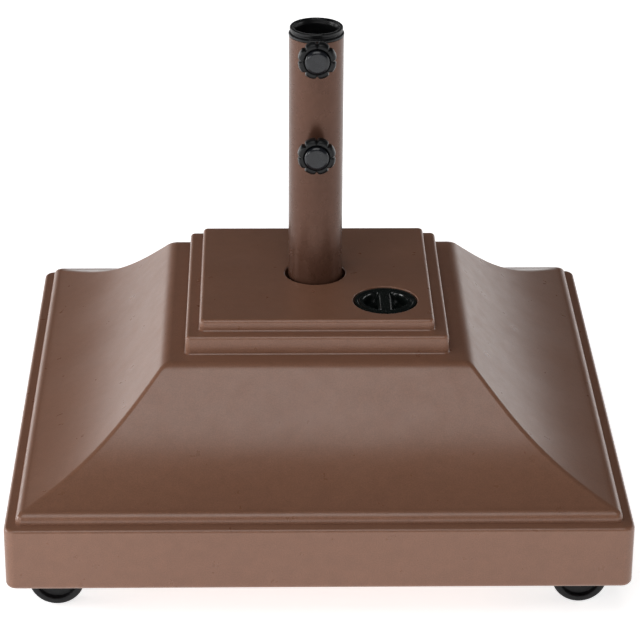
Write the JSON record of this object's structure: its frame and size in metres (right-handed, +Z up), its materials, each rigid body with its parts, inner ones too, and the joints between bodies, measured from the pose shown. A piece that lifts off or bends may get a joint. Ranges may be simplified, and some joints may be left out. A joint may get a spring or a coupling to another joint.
{
  "type": "parasol base",
  "caption": "Square weighted parasol base: a hollow brown tank with curved sides and a stepped top, a steel pole tube with clamping knobs, a filler cap and swivel casters with brakes.",
  "frame": {"origin": "on the floor under the middle of the base, which is the middle of the box's underside", "axes": "+Z up along the tube, -Y towards the front where the knobs are, +X to the right seen from the front"},
  "size_m": [0.56, 0.56, 0.4707],
  "materials": {
    "brown_plastic": "satin blow-moulded polyethylene with a fine grain",
    "brown_powder_coat": "satin powder coat on steel",
    "black_plastic": "satin moulded plastic",
    "black_knob_cap": "semi-gloss moulded plastic",
    "black_seal": "matt rubber",
    "black_wheel": "satin nylon",
    "zinc_plated_steel": "zinc plated"
  },
  "bodies": {
    "root": {"tank_shell": "brown_plastic", "tank_floor": "brown_plastic", "tank_top": "brown_plastic", "tank_well": "brown_plastic", "tank_neck": "brown_plastic", "tank_pocket_front_left": "brown_plastic", "tank_pocket_front_right": "brown_plastic", "tank_pocket_back_left": "brown_plastic", "tank_pocket_back_right": "brown_plastic", "tube": "brown_powder_coat", "foot_plate": "brown_powder_coat", "foot_bolt_1": "zinc_plated_steel", "foot_bolt_2": "zinc_plated_steel", "foot_bolt_3": "zinc_plated_steel", "weld_nut_upper": "brown_powder_coat", "weld_nut_lower": "brown_powder_coat", "caster_front_left_plate": "zinc_plated_steel", "caster_front_left_screw_1": "zinc_plated_steel", "caster_front_left_screw_2": "zinc_plated_steel", "caster_front_right_plate": "zinc_plated_steel", "caster_front_right_screw_1": "zinc_plated_steel", "caster_front_right_screw_2": "zinc_plated_steel", "caster_back_left_plate": "zinc_plated_steel", "caster_back_left_screw_1": "zinc_plated_steel", "caster_back_left_screw_2": "zinc_plated_steel", "caster_back_right_plate": "zinc_plated_steel", "caster_back_right_screw_1": "zinc_plated_steel", "caster_back_right_screw_2": "zinc_plated_steel"},
    "collar": {"collar": "black_plastic"},
    "knob_upper_screw": {"knob_upper_stud": "zinc_plated_steel"},
    "knob_upper": {"knob_upper_head": "black_plastic", "knob_upper_centre_cap": "black_knob_cap"},
    "knob_lower_screw": {"knob_lower_stud": "zinc_plated_steel"},
    "knob_lower": {"knob_lower_head": "black_plastic", "knob_lower_centre_cap": "black_knob_cap"},
    "cap_lift": {"cap_seal": "black_seal"},
    "cap": {"fill_cap": "black_plastic"},
    "caster_front_left_swivel": {"caster_front_left_body": "black_plastic", "caster_front_left_axle": "zinc_plated_steel"},
    "caster_front_left_wheel_front": {"caster_front_left_wheel_front": "black_wheel"},
    "caster_front_left_wheel_back": {"caster_front_left_wheel_back": "black_wheel"},
    "caster_front_left_brake": {"caster_front_left_brake_pedal": "black_plastic"},
    "caster_front_right_swivel": {"caster_front_right_body": "black_plastic", "caster_front_right_axle": "zinc_plated_steel"},
    "caster_front_right_wheel_front": {"caster_front_right_wheel_front": "black_wheel"},
    "caster_front_right_wheel_back": {"caster_front_right_wheel_back": "black_wheel"},
    "caster_front_right_brake": {"caster_front_right_brake_pedal": "black_plastic"},
    "caster_back_left_swivel": {"caster_back_left_body": "black_plastic", "caster_back_left_axle": "zinc_plated_steel"},
    "caster_back_left_wheel_front": {"caster_back_left_wheel_front": "black_wheel"},
    "caster_back_left_wheel_back": {"caster_back_left_wheel_back": "black_wheel"},
    "caster_back_left_brake": {"caster_back_left_brake_pedal": "black_plastic"},
    "caster_back_right_swivel": {"caster_back_right_body": "black_plastic", "caster_back_right_axle": "zinc_plated_steel"},
    "caster_back_right_wheel_front": {"caster_back_right_wheel_front": "black_wheel"},
    "caster_back_right_wheel_back": {"caster_back_right_wheel_back": "black_wheel"},
    "caster_back_right_brake": {"caster_back_right_brake_pedal": "black_plastic"}
  },
  "joints": [
    {"name": "collar_lift", "type": "slide", "parent": "root", "child": "collar", "axis": [0, 0, 1], "range_m": [0, 0.048]},
    {"name": "knob_upper_travel", "type": "slide", "parent": "root", "child": "knob_upper_screw", "axis": [0, -1, 0], "range_m": [-0.0031, 0.0091]},
    {"name": "knob_upper_turn", "type": "hinge", "parent": "knob_upper_screw", "child": "knob_upper", "pos_m": [0, -0.045, 0.4527], "axis": [0, -1, 0], "range_deg": [-864, 2592]},
    {"name": "knob_lower_travel", "type": "slide", "parent": "root", "child": "knob_lower_screw", "axis": [0, -1, 0], "range_m": [-0.0031, 0.0091]},
    {"name": "knob_lower_turn", "type": "hinge", "parent": "knob_lower_screw", "child": "knob_lower", "pos_m": [0, -0.045, 0.3592], "axis": [0, -1, 0], "range_deg": [-864, 2592]},
    {"name": "cap_travel", "type": "slide", "parent": "root", "child": "cap_lift", "axis": [0, 0, 1], "range_m": [0, 0.0161]},
    {"name": "cap_turn", "type": "hinge", "parent": "cap_lift", "child": "cap", "pos_m": [0.0645, -0.064, 0.2187], "axis": [0, 0, 1], "range_deg": [0, 1440]},
    {"name": "caster_front_left_swivel", "type": "hinge", "parent": "root", "child": "caster_front_left_swivel", "pos_m": [-0.2175, -0.2175, 0.05], "axis": [0, 0, 1], "continuous": true},
    {"name": "caster_front_left_wheel_front_spin", "type": "hinge", "parent": "caster_front_left_swivel", "child": "caster_front_left_wheel_front", "pos_m": [-0.2375, -0.232, 0.0254], "axis": [0, 1, 0], "continuous": true},
    {"name": "caster_front_left_wheel_back_spin", "type": "hinge", "parent": "caster_front_left_swivel", "child": "caster_front_left_wheel_back", "pos_m": [-0.2375, -0.203, 0.0254], "axis": [0, 1, 0], "continuous": true},
    {"name": "caster_front_left_brake_press", "type": "hinge", "parent": "caster_front_left_swivel", "child": "caster_front_left_brake", "pos_m": [-0.2515, -0.2175, 0.043], "axis": [0, -1, 0], "range_deg": [0, 11]},
    {"name": "caster_front_right_swivel", "type": "hinge", "parent": "root", "child": "caster_front_right_swivel", "pos_m": [0.2175, -0.2175, 0.05], "axis": [0, 0, 1], "continuous": true},
    {"name": "caster_front_right_wheel_front_spin", "type": "hinge", "parent": "caster_front_right_swivel", "child": "caster_front_right_wheel_front", "pos_m": [0.2375, -0.232, 0.0254], "axis": [0, 1, 0], "continuous": true},
    {"name": "caster_front_right_wheel_back_spin", "type": "hinge", "parent": "caster_front_right_swivel", "child": "caster_front_right_wheel_back", "pos_m": [0.2375, -0.203, 0.0254], "axis": [0, 1, 0], "continuous": true},
    {"name": "caster_front_right_brake_press", "type": "hinge", "parent": "caster_front_right_swivel", "child": "caster_front_right_brake", "pos_m": [0.2515, -0.2175, 0.043], "axis": [0, 1, 0], "range_deg": [0, 11]},
    {"name": "caster_back_left_swivel", "type": "hinge", "parent": "root", "child": "caster_back_left_swivel", "pos_m": [-0.2175, 0.2175, 0.05], "axis": [0, 0, 1], "continuous": true},
    {"name": "caster_back_left_wheel_front_spin", "type": "hinge", "parent": "caster_back_left_swivel", "child": "caster_back_left_wheel_front", "pos_m": [-0.2375, 0.203, 0.0254], "axis": [0, 1, 0], "continuous": true},
    {"name": "caster_back_left_wheel_back_spin", "type": "hinge", "parent": "caster_back_left_swivel", "child": "caster_back_left_wheel_back", "pos_m": [-0.2375, 0.232, 0.0254], "axis": [0, 1, 0], "continuous": true},
    {"name": "caster_back_left_brake_press", "type": "hinge", "parent": "caster_back_left_swivel", "child": "caster_back_left_brake", "pos_m": [-0.2515, 0.2175, 0.043], "axis": [0, -1, 0], "range_deg": [0, 11]},
    {"name": "caster_back_right_swivel", "type": "hinge", "parent": "root", "child": "caster_back_right_swivel", "pos_m": [0.2175, 0.2175, 0.05], "axis": [0, 0, 1], "continuous": true},
    {"name": "caster_back_right_wheel_front_spin", "type": "hinge", "parent": "caster_back_right_swivel", "child": "caster_back_right_wheel_front", "pos_m": [0.2375, 0.203, 0.0254], "axis": [0, 1, 0], "continuous": true},
    {"name": "caster_back_right_wheel_back_spin", "type": "hinge", "parent": "caster_back_right_swivel", "child": "caster_back_right_wheel_back", "pos_m": [0.2375, 0.232, 0.0254], "axis": [0, 1, 0], "continuous": true},
    {"name": "caster_back_right_brake_press", "type": "hinge", "parent": "caster_back_right_swivel", "child": "caster_back_right_brake", "pos_m": [0.2515, 0.2175, 0.043], "axis": [0, 1, 0], "range_deg": [0, 11]}
  ],
  "couplings": [
    {"joint": "knob_upper_travel", "follows": "knob_upper_turn", "m_per_rad": 0.00019894},
    {"joint": "knob_lower_travel", "follows": "knob_lower_turn", "m_per_rad": 0.00019894},
    {"joint": "cap_travel", "follows": "cap_turn", "m_per_rad": 0.00063662}
  ]
}
